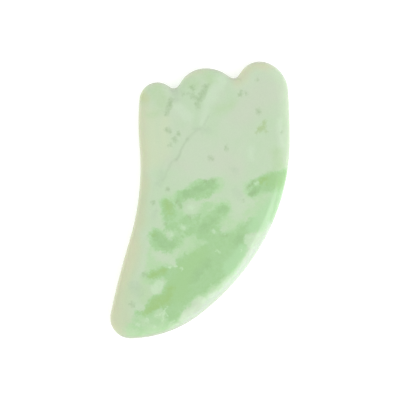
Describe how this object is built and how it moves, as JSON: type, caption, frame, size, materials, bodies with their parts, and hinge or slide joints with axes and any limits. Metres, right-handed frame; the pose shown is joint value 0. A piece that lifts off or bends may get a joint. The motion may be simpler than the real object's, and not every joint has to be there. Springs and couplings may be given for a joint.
{
  "type": "gua sha scraper",
  "caption": "Flat board of polished green stone for scraping massage, with a scalloped head, a hollow flank, a curved horn tip and a fully rounded edge.",
  "frame": {"origin": "centre of the board's bounding box in X and Y, on the back face that the board lies on", "axes": "+Z out of the front face, +Y from the horn tip towards the scalloped head, +X from the hollow flank towards the long convex edge"},
  "size_m": [0.0556, 0.0858, 0.006],
  "materials": {
    "jade": "polished"
  },
  "bodies": {
    "root": {"stone_board": "jade"}
  },
  "joints": []
}
